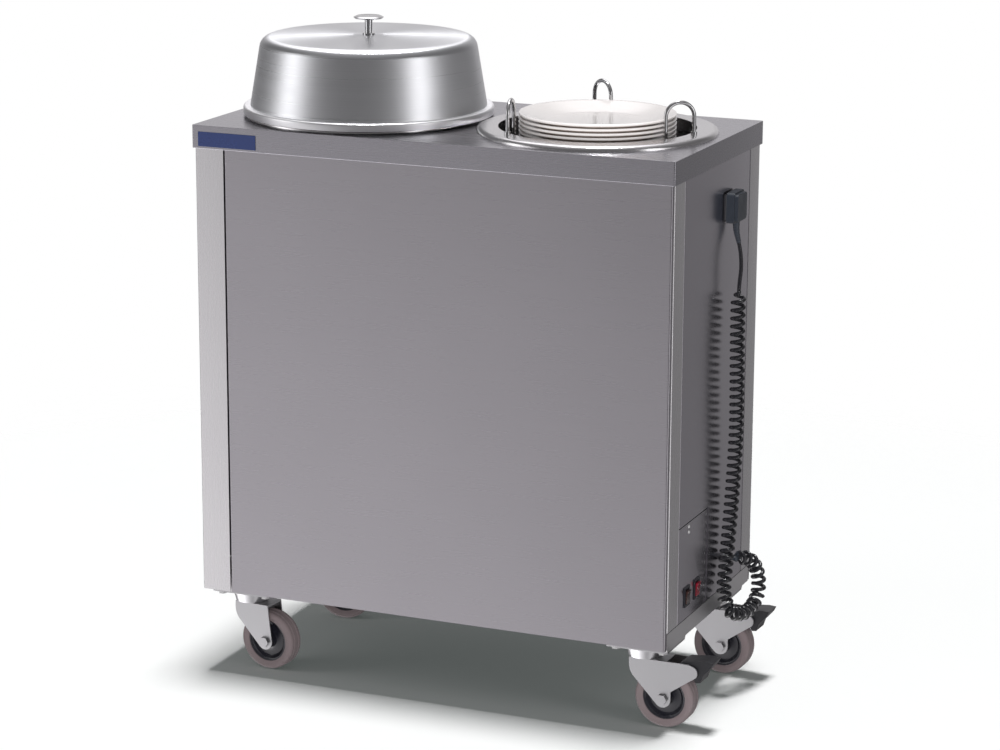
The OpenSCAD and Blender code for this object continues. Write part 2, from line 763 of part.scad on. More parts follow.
module lid_dome()
    color("lightsteelblue") at_lid() difference() {
        rotate_extrude($fn = round_fn) {
            difference() {
                lid_outline(lid_wall_r, lid_top_r, lid_h, lid_shoulder, lid_rise);
                translate([0, -seat_gap])
                    lid_outline(lid_wall_r - lid_t, lid_top_r - lid_t, lid_h - lid_t + seat_gap,
                        lid_shoulder - lid_t, lid_rise);
            }
            lid_foot_2d();
        }
        translate([0, 0, lid_h - boss_r]) cylinder(h = 2*boss_r, r = screw_r + bolt_fit, $fn = small_fn);
    }

module lid_knob()
    color("whitesmoke") at_lid() translate([0, 0, lid_h]) {
        cylinder(h = boss_h, r = boss_r, $fn = round_fn);
        cylinder(h = stem_h, r1 = stem_r - boss_h/2, r2 = stem_r, $fn = round_fn);
        translate([0, 0, stem_h])
            cylinder(h = knob_t/2, r1 = knob_d/2 - knob_t/2, r2 = knob_d/2, $fn = round_fn);
        translate([0, 0, stem_h + knob_t/2])
            cylinder(h = knob_t/2, r1 = knob_d/2, r2 = knob_d/2 - knob_t, $fn = round_fn);
        translate([0, 0, -lid_t - screw_head_h - bolt_r]) {
            cylinder(h = bolt_r + screw_head_h + lid_t, r = screw_r, $fn = small_fn);
            translate([0, 0, bolt_r/2 - seat_gap]) cylinder(h = bolt_r, r = bolt_r, $fn = 6);
        }
    }

// The sprung platform: a disc on three legs over a spider whose arms pass through the tube's slots
module carrier(side, z)
    color("silver") in_case() translate([side*well_x, 0, z - platform_t]) {
        difference() {
            cylinder(h = platform_t, r = platform_r, $fn = round_fn);
            translate([0, 0, -cut]) cylinder(h = platform_t + 2*cut, r = platform_hole_r, $fn = round_fn);
        }
        for (az = ARM_AZ) rotate(az) {
            translate([leg_ring, 0, -leg_len]) cylinder(h = leg_len, r = leg_r, $fn = small_fn);
            translate([leg_ring, -arm_w/2, -leg_len - spider_t]) cube([arm_end - leg_ring, arm_w, spider_t]);
        }
        translate([0, 0, -leg_len - spider_t]) cylinder(h = spider_t, r = spider_r, $fn = round_fn);
    }

// Springs outside the tube, from the arms up to the tube's flange
module springs(side, z) {
    low = z - platform_t - leg_len + seat_gap;
    high = case_h - sheet_t - tube_t - seat_gap;
    color("gray") in_case() translate([side*well_x, 0, 0]) for (az = ARM_AZ)
        rotate(az) translate([spring_ring, 0, 0]) {
            translate([0, 0, low]) cylinder(h = high - low, r = spring_hook_r, $fn = small_fn);
            translate([0, 0, low + spring_hook_h])
                cylinder(h = high - low - 2*spring_hook_h, r = spring_d/2, $fn = small_fn);
        }
}

// A coupe plate's section: foot, flat well, sloping rim and a rounded edge
module plate()
    rotate_extrude($fn = round_fn) {
        translate([0, foot_h]) square([rim_flat_r, plate_t]);
        translate([foot_r - foot_w, 0]) square([foot_w, foot_h + plate_t/2]);
        polygon([
            [rim_flat_r, foot_h], [plate_r - plate_t/2, plate_h - plate_t], [plate_r - plate_t/2, plate_h],
            [rim_flat_r, foot_h + plate_t]]);
        translate([plate_r - plate_t/2, plate_h - plate_t/2]) circle(plate_t/2, $fn = small_fn);
    }

module plate_stack()
    color("linen") in_case() translate([well_x, 0, stack_z]) for (i = [0:plate_count - 1])
        translate([0, 0, i*plate_pitch]) plate();

// The lead's route, as points from the middle of the case's right end, x outwards, chosen by hand
UPPER = [[12, 58, 642], [13, 58, 630], [16.5, 59, 614], [20, 60, 594], [21.5, 59.5, 572],
    [20.5, 57.5, 552], [20, 56, 540]];
COIL = [[20, 56, 540], [20, 53.5, 490], [21.5, 51.5, 421], [21.5, 54, 363], [21, 56.5, 305],
    [19.5, 56.5, 255], [18, 54.5, 211], [16.5, 51.5, 167], [15, 45.5, 116], [14.5, 36, 68],
    [17, 25, 33], [26, 26, 4], [36, 46, -7.5], [44, 76, -7.5], [48, 104, 8], [48, 110, 36],
    [43, 104, 60], [37, 93, 73], [31, 83, 78], [25, 74, 80], [18.5, 68.5, 80], [12, 68, 80]];

function unit(v) = v/norm(v);
function blend(a, b, c, d, t) =
    0.5*(2*b + (c - a)*t + (2*a - 5*b + 4*c - d)*t*t + (3*b - 3*c + d - a)*t*t*t);
function smooth_path(p, per) = concat(
    [for (i = [0:len(p) - 2], j = [0:per - 1])
        blend(p[max(i - 1, 0)], p[i], p[i + 1], p[min(i + 2, len(p) - 1)], j/per)],
    [p[len(p) - 1]]);
function run_lengths(p) =
    [for (i = 0, c = 0; i < len(p); c = c + (i + 1 < len(p) ? norm(p[i + 1] - p[i]) : 0), i = i + 1) c];
function last(v) = v[len(v) - 1];

down = [0, 0, -1];
inwards = [-1, 0, 0];

// Rings of a tube: each is n points round a centre, p and q spanning its plane
function ring(c, p, q, r, n) = [for (j = [0:n - 1]) c + r*(cos(360*j/n)*p + sin(360*j/n)*q)];
module tube_from(rings, n) {
    m = len(rings);
    points = [for (k = rings, v = k) v];
    polyhedron(
        points = points,
        faces = concat(
            [for (j = [1:n - 2]) [0, j, j + 1]],
            [for (j = [1:n - 2]) [(m - 1)*n, (m - 1)*n + j + 1, (m - 1)*n + j]],
            [for (i = [0:m - 2], j = [0:n - 1]) [i*n + j, (i + 1)*n + j, (i + 1)*n + (j + 1)%n]],
            [for (i = [0:m - 2], j = [0:n - 1]) [i*n + j, (i + 1)*n + (j + 1)%n, i*n + (j + 1)%n]]));
}

// A plain stretch of cable; its first and last rings lie square to aim_a and aim_b
cable_sides = 8;
cable_per = 3;
module cable(route, aim_a, aim_b) {
    p = smooth_path(route, cable_per);
    m = len(p);
    rings = [for (i = [0:m - 1]) let (
        t = i == 0 ? aim_a : i == m - 1 ? aim_b : unit(p[i + 1] - p[i - 1]),
        side = unit(cross(t, [0.6, -0.35, 0.7])))
        ring(p[i], side, cross(t, side), lead_d/2, cable_sides)];
    tube_from(rings, cable_sides);
}

// The curly part: one tube wound along the smoothed route
curl_rings = 8;
curl_sides = 6;
coil_path = smooth_path(COIL, 12);
coil_runs = run_lengths(coil_path);
coil_len = last(coil_runs);
coil_x = [for (i = [0:len(coil_path) - 1]) [coil_runs[i], coil_path[i].x]];
coil_y = [for (i = [0:len(coil_path) - 1]) [coil_runs[i], coil_path[i].y]];
coil_z = [for (i = [0:len(coil_path) - 1]) [coil_runs[i], coil_path[i].z]];
function axis_at(s) = [lookup(s, coil_x), lookup(s, coil_y), lookup(s, coil_z)];
function axis_dir(s) = unit(axis_at(min(s + lead_d/2, coil_len)) - axis_at(max(s - lead_d/2, 0)));
straight_len = lead_d;
function wound(s) = min(max((s - straight_len)/(coil_len - 2*straight_len), 0), 1);
function curl_r(s) = (curl_d - lead_d)/2*min(1, 1.2*curls*wound(s), 1.2*curls*(1 - wound(s)));
function radial(s) = let (
    t = axis_dir(s),
    n = unit([1, 0, 0] - t.x*t),
    a = 360*curls*wound(s)) cos(a)*n + sin(a)*cross(t, n);
function wire_at(s) = axis_at(s) + curl_r(s)*radial(s);
curl_step = (coil_len - 2*straight_len)/(curls*curl_rings);
coil_steps = [for (i = [0:curls*curl_rings]) straight_len + curl_step*i];
coil_s = concat([0], coil_steps, [coil_len]);
wire = [for (s = coil_s) wire_at(s)];
// Rings whose centres lie this many steps apart are not neighbours along the tube
apart_steps = 5;

module curly_cable() {
    m = len(wire);
    rings = [for (i = [0:m - 1]) let (
        t = i < 2 ? axis_dir(0) : i > m - 3 ? inwards : unit(wire[i + 1] - wire[i - 1]),
        rad = radial(coil_s[i]),
        p = unit(rad - (rad*t)*t))
        ring(wire[i], p, cross(t, p), lead_d/2, curl_sides)];
    nearest = min([for (i = [0:m - 1 - apart_steps], j = [i + apart_steps:m - 1]) norm(wire[i] - wire[j])]);
    echo(least_gap_mm = nearest - lead_d, wire_length_mm = last(run_lengths(wire)));
    tube_from(rings, curl_sides);
}

module on_lead()
    color("black") in_case() translate([case_w/2, 0, 0]) children();

module lead_upper()
    on_lead() cable(UPPER, down, axis_dir(0));

module lead_coil()
    on_lead() curly_cable();

top_cover();
front_panel();
rear_panel();
left_end_panel();
right_end_panel();
control_hatch();
post_front_left();
post_front_right();
post_back_left();
post_back_right();
chassis_base();
castor_plates();
chassis_fasteners();
hatch_bracket();
hatch_screws();
well_ring(-1);  // well_ring_left
well_ring(1);  // well_ring_right
well_tube(-1);  // well_tube_left
well_tube(1);  // well_tube_right
heater(-1);  // heater_left
heater(1);  // heater_right
thermostat();
terminal_block();
rocker_bezels();
cable_gland();
park_socket();
badge_plate();
guide(-1, 0);  // guide_left_1
guide(-1, 1);  // guide_left_2
guide(-1, 2);  // guide_left_3
guide(1, 0);  // guide_right_1
guide(1, 1);  // guide_right_2
guide(1, 2);  // guide_right_3
lid_dome();
lid_knob();
carrier(-1, left_platform_z);  // carrier_left
carrier(1, right_platform_z);  // carrier_right
springs(-1, left_platform_z);  // springs_left
springs(1, right_platform_z);  // springs_right
plate_stack();
fork(0, false);  // fork_front_left
fork(1, true);  // fork_front_right
fork(2, false);  // fork_back_left
fork(3, true);  // fork_back_right
tyre(0);  // tyre_front_left
tyre(1);  // tyre_front_right
tyre(2);  // tyre_back_left
tyre(3);  // tyre_back_right
hub(0);  // hub_front_left
hub(1);  // hub_front_right
hub(2);  // hub_back_left
hub(3);  // hub_back_right
pedal(1);  // pedal_front_right
pedal(3);  // pedal_back_right
rocker(-1, "black");  // rocker_power
rocker(1, "firebrick");  // rocker_heat
mains_plug();
lead_upper();
lead_coil();
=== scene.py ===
"""The looks of a mobile heated plate dispenser, built around its CAD frame. Lengths are in metres."""
import json
import math

import bmesh
import bpy
from mathutils import Matrix, Vector


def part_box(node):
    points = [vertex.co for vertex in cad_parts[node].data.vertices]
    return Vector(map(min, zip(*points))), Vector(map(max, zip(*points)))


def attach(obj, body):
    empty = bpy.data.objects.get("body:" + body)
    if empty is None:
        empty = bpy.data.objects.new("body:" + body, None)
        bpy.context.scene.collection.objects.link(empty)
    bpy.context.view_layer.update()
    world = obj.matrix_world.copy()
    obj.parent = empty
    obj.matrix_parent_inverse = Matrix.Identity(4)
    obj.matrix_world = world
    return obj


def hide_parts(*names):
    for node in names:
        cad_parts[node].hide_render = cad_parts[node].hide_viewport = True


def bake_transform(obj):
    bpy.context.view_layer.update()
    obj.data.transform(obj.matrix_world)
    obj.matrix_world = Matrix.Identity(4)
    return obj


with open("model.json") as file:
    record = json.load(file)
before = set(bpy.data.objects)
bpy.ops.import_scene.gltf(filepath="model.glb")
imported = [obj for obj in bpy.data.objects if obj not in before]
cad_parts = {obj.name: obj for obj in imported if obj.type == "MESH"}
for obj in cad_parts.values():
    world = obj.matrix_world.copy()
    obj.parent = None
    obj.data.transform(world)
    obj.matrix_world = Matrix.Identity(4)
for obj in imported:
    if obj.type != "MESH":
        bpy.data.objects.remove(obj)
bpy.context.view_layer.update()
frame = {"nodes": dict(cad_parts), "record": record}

MM = 0.001
UP = (0, 0, 1)
BODY_OF = {node: body for body, nodes in frame["record"]["behaviour"]["bodies"].items() for node in nodes}

# The case stands on its castors, a little left of the middle of the whole outline
CASE_W = 825 * MM
CASE_Z = 145 * MM
COVER_OVER = 3.5 * MM
CASE_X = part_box("top_cover")[0].x + CASE_W / 2 + COVER_OVER
END_X = CASE_X + CASE_W / 2


# Camera, solved from the edges of the case in the photograph
CAMERA_AZ = math.radians(22.92)
CAMERA_EL = math.radians(14.04)
CAMERA_ROLL = math.radians(0.27)
CAMERA_LENS = 112.13
CAMERA_SENSOR = 36
CAMERA_REACH = 60
CAMERA_FROM_CASE = Vector((1.9882, -4.6110, 1.6190))


def add_camera():
    back = Vector((
        math.sin(CAMERA_AZ) * math.cos(CAMERA_EL),
        -math.cos(CAMERA_AZ) * math.cos(CAMERA_EL),
        math.sin(CAMERA_EL)))
    level = Vector((math.cos(CAMERA_AZ), math.sin(CAMERA_AZ), 0))
    up = back.cross(level)
    right = level * math.cos(CAMERA_ROLL) + up * math.sin(CAMERA_ROLL)
    turn = Matrix((right, back.cross(right), back)).transposed().to_4x4()
    data = bpy.data.cameras.new("camera")
    data.sensor_width = CAMERA_SENSOR
    data.lens = CAMERA_LENS
    data.clip_end = CAMERA_REACH
    camera = bpy.data.objects.new("camera", data)
    camera.matrix_world = Matrix.Translation(CAMERA_FROM_CASE + Vector((CASE_X, 0, CASE_Z))) @ turn
    bpy.context.collection.objects.link(camera)
    bpy.context.scene.camera = camera


# Nodes of a material or of the world


def new_node(tree, kind, **values):
    node = tree.nodes.new(kind)
    for name, value in values.items():
        setattr(node, name, value)
    return node


def feed(tree, socket, value):
    """Gives a socket a plain value or a colour, or links it to another node's output."""
    if isinstance(value, bpy.types.NodeSocket):
        tree.links.new(value, socket)
    elif socket.type == "RGBA":
        socket.default_value = (*value, 1)
    else:
        socket.default_value = value


def math_node(tree, operation, a, b):
    node = new_node(tree, "ShaderNodeMath", operation=operation)
    for socket, value in zip(node.inputs, (a, b)):
        feed(tree, socket, value)
    return node.outputs[0]


def map_range(tree, value, from_low, from_high, to_low, to_high, smooth=False):
    node = new_node(tree, "ShaderNodeMapRange")
    node.interpolation_type = "SMOOTHSTEP" if smooth else "LINEAR"
    feed(tree, node.inputs["Value"], value)
    feed(tree, node.inputs["From Min"], from_low)
    feed(tree, node.inputs["From Max"], from_high)
    feed(tree, node.inputs["To Min"], to_low)
    feed(tree, node.inputs["To Max"], to_high)
    return node.outputs["Result"]


def object_noise(tree, scale=(1, 1, 1), frequency=1.0, detail=3.0):
    """Noise in the object's own coordinates, stretched by scale along each axis."""
    place = new_node(tree, "ShaderNodeTexCoord").outputs["Object"]
    mapping = new_node(tree, "ShaderNodeMapping")
    feed(tree, mapping.inputs["Vector"], place)
    feed(tree, mapping.inputs["Scale"], scale)
    noise = new_node(tree, "ShaderNodeTexNoise")
    feed(tree, noise.inputs["Vector"], mapping.outputs["Vector"])
    feed(tree, noise.inputs["Scale"], frequency)
    feed(tree, noise.inputs["Detail"], detail)
    return noise.outputs["Fac"]


# A Mix node's sockets for colours, by number, because its sockets for other types have the same names
MIX_FACTOR, MIX_LOW, MIX_HIGH = 0, 6, 7
MIX_RESULT = 2


def mix_color(tree, fac, low, high):
    """Blends two colours: low where fac is 0, high where it is 1."""
    node = new_node(tree, "ShaderNodeMix", data_type="RGBA")
    feed(tree, node.inputs[MIX_FACTOR], fac)
    feed(tree, node.inputs[MIX_LOW], low)
    feed(tree, node.inputs[MIX_HIGH], high)
    return node.outputs[MIX_RESULT]


def mix_shader(tree, fac, low, high):
    """Blends two shaders: low where fac is 0, high where it is 1."""
    node = new_node(tree, "ShaderNodeMixShader")
    for socket, value in zip(node.inputs, (fac, low, high)):
        feed(tree, socket, value)
    return node.outputs[0]


def scaled(color, amount):
    return tuple(min(1.0, c * amount) for c in color)


def new_material(name, color, roughness, **sockets):
    """A Principled material. Every keyword is a socket's name with spaces as underscores."""
    material = bpy.data.materials.new(name)
    material.use_nodes = True
    tree = material.node_tree
    shader = tree.nodes["Principled BSDF"]
    feed(tree, shader.inputs["Base Color"], color)
    feed(tree, shader.inputs["Roughness"], roughness)
    for socket, value in sockets.items():
        feed(tree, shader.inputs[socket.replace("_", " ")], value)
    return material, tree, shader


def add_bump(tree, shader, height, strength, depth):
    """Bumps the normal of a shader, or of another bump that comes on top of this one."""
    bump = new_node(tree, "ShaderNodeBump")
    feed(tree, bump.inputs["Height"], height)
    feed(tree, bump.inputs["Strength"], strength)
    feed(tree, bump.inputs["Distance"], depth)
    feed(tree, shader.inputs["Normal"], bump.outputs["Normal"])
    return bump


# Finishes


FINE = 900
ALONG = 9
GRAINS = {"x": (ALONG, FINE, FINE), "y": (FINE, ALONG, FINE), "z": (FINE, FINE, ALONG)}
LATHE_RINGS = (0.5, 0.5, 700)
METAL_SPREAD = 0.04
PLASTIC_SPREAD = 0.15
STREAK_BUMP = (0.15, 0.02 * MM)
RING_DEPTH = 0.1 * MM
GRAIN_DEPTH = 0.2 * MM
# Upward parts of the normal between which a plate's colour goes from the painted shade to the glaze's own
# tone
SHADED_BELOW = -0.97
CLEAR_ABOVE = -0.60


def about_middle(tree, pattern, amount):
    """A pattern's swing about its middle, as a share of amount."""
    return math_node(tree, "MULTIPLY", math_node(tree, "SUBTRACT", pattern, 0.5), amount)


def vary_roughness(tree, shader, pattern, edge, low, high):
    """Lets the roughness follow a pattern, whose values below edge and above 1 - edge are cut off."""
    feed(tree, shader.inputs["Roughness"], map_range(tree, pattern, edge, 1 - edge, low, high))


def brushed(name, color, roughness, grain="x", contrast=0.12, cloud=0.06, dents=0.0):
    """Brushed sheet: fine streaks along the grain over broad soft clouding."""
    material, tree, shader = new_material(name, color, roughness, Metallic=1.0)
    streaks = object_noise(tree, GRAINS[grain], detail=2.0)
    clouds = object_noise(tree, frequency=5.0, detail=2.0)
    swing = math_node(tree, "ADD", about_middle(tree, streaks, contrast), about_middle(tree, clouds, cloud))
    tone = mix_color(tree, math_node(tree, "ADD", swing, 0.5), scaled(color, 0.5), scaled(color, 1.5))
    feed(tree, shader.inputs["Base Color"], tone)
    vary_roughness(tree, shader, streaks, 0.25, roughness - METAL_SPREAD, roughness + METAL_SPREAD)
    fine = add_bump(tree, shader, streaks, *STREAK_BUMP)
    if dents:
        add_bump(tree, fine, object_noise(tree, frequency=3.0, detail=0.0), 1.0, dents)
    return material


def spun(name, color, roughness, anisotropy, ring_bump):
    """Metal spun on a lathe: rings round its own axis, with its glints drawn out across them."""
    material, tree, shader = new_material(name, color, roughness, Metallic=1.0, Anisotropic=anisotropy)
    rings = object_noise(tree, LATHE_RINGS, detail=2.0)
    feed(tree, shader.inputs["Base Color"], mix_color(tree, rings, scaled(color, 0.93), scaled(color, 1.07)))
    vary_roughness(tree, shader, rings, 0.25, roughness - METAL_SPREAD, roughness + METAL_SPREAD)
    tangent = new_node(tree, "ShaderNodeTangent", direction_type="RADIAL", axis="Z")
    feed(tree, shader.inputs["Tangent"], tangent.outputs["Tangent"])
    add_bump(tree, shader, rings, ring_bump, RING_DEPTH)
    return material


def plastic(name, color, roughness, grain=0.0, coat=0.0, tone=0.08):
    """Moulded plastic, rubber or paint, with slightly uneven gloss and a fine texture."""
    material, tree, shader = new_material(name, color, roughness, Coat_Weight=coat, Coat_Roughness=0.08)
    wear = object_noise(tree, frequency=40.0, detail=4.0)
    worn = mix_color(tree, wear, scaled(color, 1 - tone), scaled(color, 1 + tone))
    feed(tree, shader.inputs["Base Color"], worn)
    vary_roughness(tree, shader, wear, 0.3, roughness * (1 - PLASTIC_SPREAD),
                   min(1.0, roughness * (1 + PLASTIC_SPREAD)))
    if grain:
        add_bump(tree, shader, object_noise(tree, frequency=1800.0, detail=1.0), grain, GRAIN_DEPTH)
    return material


def glazed(name, body, shade, roughness):
    """Glazed plates: cream glaze, with a brown painted shade underneath, standing in for the shade that the
    rims and feet cast on each other.
    """
    material, tree, shader = new_material(name, body, roughness, Coat_Weight=0.5, Coat_Roughness=0.05)
    tint = object_noise(tree, frequency=22.0)
    top = mix_color(tree, tint, scaled(body, 0.97), scaled(body, 1.03))
    facing = new_node(tree, "ShaderNodeSeparateXYZ")
    feed(tree, facing.inputs[0], new_node(tree, "ShaderNodeNewGeometry").outputs["Normal"])
    upward = map_range(tree, facing.outputs["Z"], SHADED_BELOW, CLEAR_ABOVE, 0.0, 1.0, smooth=True)
    # Faces that turn downwards take the painted shade colour instead of the glaze
    feed(tree, shader.inputs["Base Color"], mix_color(tree, upward, shade, top))
    return material


FINISHES = {
    # Cover, panel, end, post and base steel are one brushed stainless; their different base colours are
    # painted light and shade, set for how each face is lit
    "cover_steel": brushed("cover_steel", (0.405, 0.395, 0.425), 0.27, "x", contrast=0.05, dents=0.6 * MM),
    "panel_steel": brushed("panel_steel", (0.42, 0.405, 0.43), 0.30, "x", contrast=0.05, dents=0.6 * MM),
    "end_steel": brushed("end_steel", (0.52, 0.50, 0.54), 0.22, "y", contrast=0.05, dents=0.4 * MM),
    "post_steel": brushed("post_steel", (0.90, 0.86, 0.91), 0.26, "z", contrast=0.05),
    "base_steel": brushed("base_steel", (0.86, 0.83, 0.87), 0.40, "x"),
    "ring_steel": spun("ring_steel", (0.70, 0.69, 0.70), 0.22, 0.4, 0.1),
    "tube_steel": brushed("tube_steel", (0.55, 0.55, 0.56), 0.40, "z"),
    "heater_sheath": brushed("heater_sheath", (0.30, 0.28, 0.27), 0.50, "z"),
    "thermostat_case": plastic("thermostat_case", (0.72, 0.70, 0.64), 0.45),
    "terminal_plastic": plastic("terminal_plastic", (0.80, 0.77, 0.68), 0.50),
    "bezel_plastic": plastic("bezel_plastic", (0.014, 0.014, 0.018), 0.38, 0.2),
    "rocker_dark": plastic("rocker_dark", (0.030, 0.014, 0.012), 0.22, coat=0.6),
    "rocker_red": plastic("rocker_red", (0.17, 0.008, 0.018), 0.20, coat=0.8),
    "fitting_plastic": plastic("fitting_plastic", (0.06, 0.06, 0.065), 0.45, 0.2),
    "plug_rubber": plastic("plug_rubber", (0.022, 0.026, 0.034), 0.42, 0.25),
    "lead_rubber": plastic("lead_rubber", (0.010, 0.010, 0.012), 0.24),
    "badge_paint": plastic("badge_paint", (0.012, 0.026, 0.105), 0.25, coat=0.5),
    "guide_wire": brushed("guide_wire", (0.70, 0.70, 0.72), 0.14, "z", contrast=0.05, cloud=0.04),
    # The rim is rolled from the same metal as the dome; its lighter tone is painted light
    "lid_metal": spun("lid_metal", (0.76, 0.77, 0.79), 0.30, 0.75, 0.10),
    "rim_metal": spun("rim_metal", (0.92, 0.92, 0.94), 0.36, 0.3, 0.05),
    "knob_chrome": brushed("knob_chrome", (0.80, 0.80, 0.82), 0.12, "z", contrast=0.03, cloud=0.03),
    "carrier_steel": brushed("carrier_steel", (0.60, 0.60, 0.61), 0.35, "x"),
    "spring_wire": brushed("spring_wire", (0.40, 0.40, 0.41), 0.35, "z"),
    # The second colour is the painted shade under the plates' rims and feet
    "plate_glaze": glazed("plate_glaze", (0.80, 0.765, 0.755), (0.66, 0.56, 0.50), 0.20),
    "castor_zinc": brushed("castor_zinc", (0.50, 0.50, 0.51), 0.36, "z", contrast=0.05, cloud=0.25),
    "tyre_rubber": plastic("tyre_rubber", (0.15, 0.12, 0.124), 0.62, 0.3),
    "hub_plastic": plastic("hub_plastic", (0.009, 0.009, 0.013), 0.25, coat=0.3),
    "pedal_plastic": plastic("pedal_plastic", (0.007, 0.007, 0.009), 0.50, 0.2),
    "fastener_zinc": brushed("fastener_zinc", (0.58, 0.58, 0.58), 0.35, "z"),
    "bracket_steel": brushed("bracket_steel", (0.42, 0.42, 0.43), 0.45, "x"),
}


def paint(obj, finish):
    obj.data.materials.clear()
    obj.data.materials.append(FINISHES[finish])


def link(obj):
    bpy.context.collection.objects.link(obj)
    return obj


def stand_for(obj, finish, body, *nodes):
    """obj is painted, rides on body and takes the place of these CAD nodes."""
    paint(obj, finish)
    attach(obj, body)
    if nodes:
        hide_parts(*nodes)
    return obj


# Shapes: CAD solids with rounded edges, turned outlines and wires


WELD = 0.005 * MM
FLAT = math.radians(0.3)
SHARP = math.radians(30)


def smooth_faces(work, sharp_angle):
    """Smooths a mesh, apart from its open edges and those sharper than sharp_angle."""
    for face in work.faces:
        face.smooth = True
    for edge in work.edges:
        edge.smooth = len(edge.link_faces) == 2 and edge.calc_face_angle(0) < sharp_angle


def soften(mesh):
    """Joins the loose triangles of a CAD solid's mesh and smooths it."""
    if "custom_normal" in mesh.attributes:
        mesh.attributes.remove(mesh.attributes["custom_normal"])
    work = bmesh.new()
    work.from_mesh(mesh)
    bmesh.ops.remove_doubles(work, verts=work.verts, dist=WELD)
    bmesh.ops.dissolve_limit(work, angle_limit=FLAT, verts=work.verts, edges=work.edges)
    smooth_faces(work, SHARP)
    work.to_mesh(mesh)
    work.free()


def dressed(node, finish, bevel=0.0, segments=2):
    """A copy of a CAD node with rounded edges, in its place."""
    mesh = frame["nodes"][node].data.copy()
    soften(mesh)
    obj = link(bpy.data.objects.new("looks_" + node, mesh))
    if bevel:
        rounding = obj.modifiers.new("rounding", "BEVEL")
        rounding.limit_method = "ANGLE"
        rounding.angle_limit = SHARP
        rounding.width = bevel
        rounding.segments = segments
        rounding.harden_normals = True
    return stand_for(obj, finish, BODY_OF[node], node)


def lathe(name, outline, centre, axis=UP, steps=64, sharp=35):
    """Turns an outline of (radius, height) points about an axis through centre. sharp is in degrees."""
    middle = Vector(centre)
    turn = Vector(UP).rotation_difference(Vector(axis).normalized())
    angles = [2 * math.pi * i / steps for i in range(steps)]
    work = bmesh.new()
    rings = []
    for radius, height in outline:
        if radius == 0:
            rings.append([work.verts.new(middle + turn @ Vector((0, 0, height)))])
            continue
        rings.append([
            work.verts.new(middle + turn @ Vector((radius * math.cos(a), radius * math.sin(a), height)))
            for a in angles])
    for low, high in zip(rings, rings[1:]):
        for i in range(steps):
            j = (i + 1) % steps
            corners = [low[i % len(low)], low[j % len(low)], high[j % len(high)], high[i % len(high)]]
            corners = [v for k, v in enumerate(corners) if v not in corners[:k]]
            if len(corners) > 2:
                work.faces.new(corners)
    bmesh.ops.recalc_face_normals(work, faces=work.faces)
    smooth_faces(work, math.radians(sharp))
    mesh = bpy.data.meshes.new(name)
    work.to_mesh(mesh)
    work.free()
    return link(bpy.data.objects.new(name, mesh))


def arc(centre, radius, start, end, steps):
    """Points of a round stretch of an outline, angles in degrees."""
    angles = [math.radians(start + (end - start) * i / steps) for i in range(steps + 1)]
    return [(centre[0] + radius * math.cos(a), centre[1] + radius * math.sin(a)) for a in angles]


def stretch(points, radius=0.0, height=0.0):
    """A stretch of an outline, from points given in millimetres from this radius and height."""
    return [(radius + r * MM, height + h * MM) for r, h in points]


def both_halves(side):
    """The closed outline of a turned piece that is the same on both sides of its middle."""
    return side + [(r, -h) for r, h in reversed(side)] + side[:1]


def tube(name, points, radius, radii=None, resolution=3):
    """A round wire or sleeve that follows the points."""
    data = bpy.data.curves.new(name, "CURVE")
    data.dimensions = "3D"
    data.bevel_depth = radius
    data.bevel_resolution = resolution
    data.use_fill_caps = True
    spline = data.splines.new("POLY")
    spline.points.add(len(points) - 1)
    for i, point in enumerate(points):
        spline.points[i].co = (*point, 1)
        spline.points[i].radius = radii[i] if radii else 1.0
    return link(bpy.data.objects.new(name, data))


# The lead: its route is given from the middle of the right end, x outwards, in millimetres
LEAD_D = 6.4 * MM
CURL_D = 25.6 * MM
CURLS = 56
# At each end the curls reach their full width after 1 / CURL_SWELL of a turn
CURL_SWELL = 1.2
UPPER = [
    (12, 58, 642), (13, 58, 630), (16.5, 59, 614), (20, 60, 594), (21.5, 59.5, 572),
    (20.5, 57.5, 552), (20, 56, 540)]
COIL = [
    (20, 56, 540), (20, 53.5, 490), (21.5, 51.5, 421), (21.5, 54, 363), (21, 56.5, 305),
    (19.5, 56.5, 255), (18, 54.5, 211), (16.5, 51.5, 167), (15, 45.5, 116), (14.5, 36, 68),
    (17, 25, 33), (26, 26, 4), (36, 46, -7.5), (44, 76, -7.5), (48, 104, 8), (48, 110, 36),
    (43, 104, 60), (37, 93, 73), (31, 83, 78), (25, 74, 80), (18.5, 68.5, 80), (12, 68, 80)]
STEPS_A_CURL = 16
UPPER_STEPS = 8
COIL_STEPS = 12


def smooth_path(points, per):
    """A smooth line through the points, with per steps between two of them."""
    path = []
    for i in range(len(points) - 1):
        a, b = points[max(i - 1, 0)], points[i]
        c, d = points[i + 1], points[min(i + 2, len(points) - 1)]
        for j in range(per):
            t = j / per
            path.append(0.5 * (
                2 * b + (c - a) * t + (2 * a - 5 * b + 4 * c - d) * t * t
                + (3 * b - 3 * c + d - a) * t * t * t))
    path.append(points[-1])
    return path


def path_lengths(path):
    """The distance along a path at each of its points."""
    runs = [0.0]
    for a, b in zip(path, path[1:]):
        runs.append(runs[-1] + (b - a).length)
    return runs


class Route:
    """A path whose points are found by their distance along it."""

    def __init__(self, path):
        self.path = path
        self.runs = path_lengths(path)
        self.length = self.runs[-1]

    def at(self, s):
        s = min(max(s, 0.0), self.length)
        low = 0
        high = len(self.runs) - 1
        while high - low > 1:
            middle = (low + high) // 2
            if self.runs[middle] <= s:
                low = middle
            else:
                high = middle
        share = (s - self.runs[low]) / (self.runs[high] - self.runs[low])
        return self.path[low].lerp(self.path[high], share)

    def direction(self, s, reach):
        return (self.at(s + reach) - self.at(s - reach)).normalized()


def placed(route):
    return [Vector((END_X + x * MM, y * MM, CASE_Z + z * MM)) for x, y, z in route]


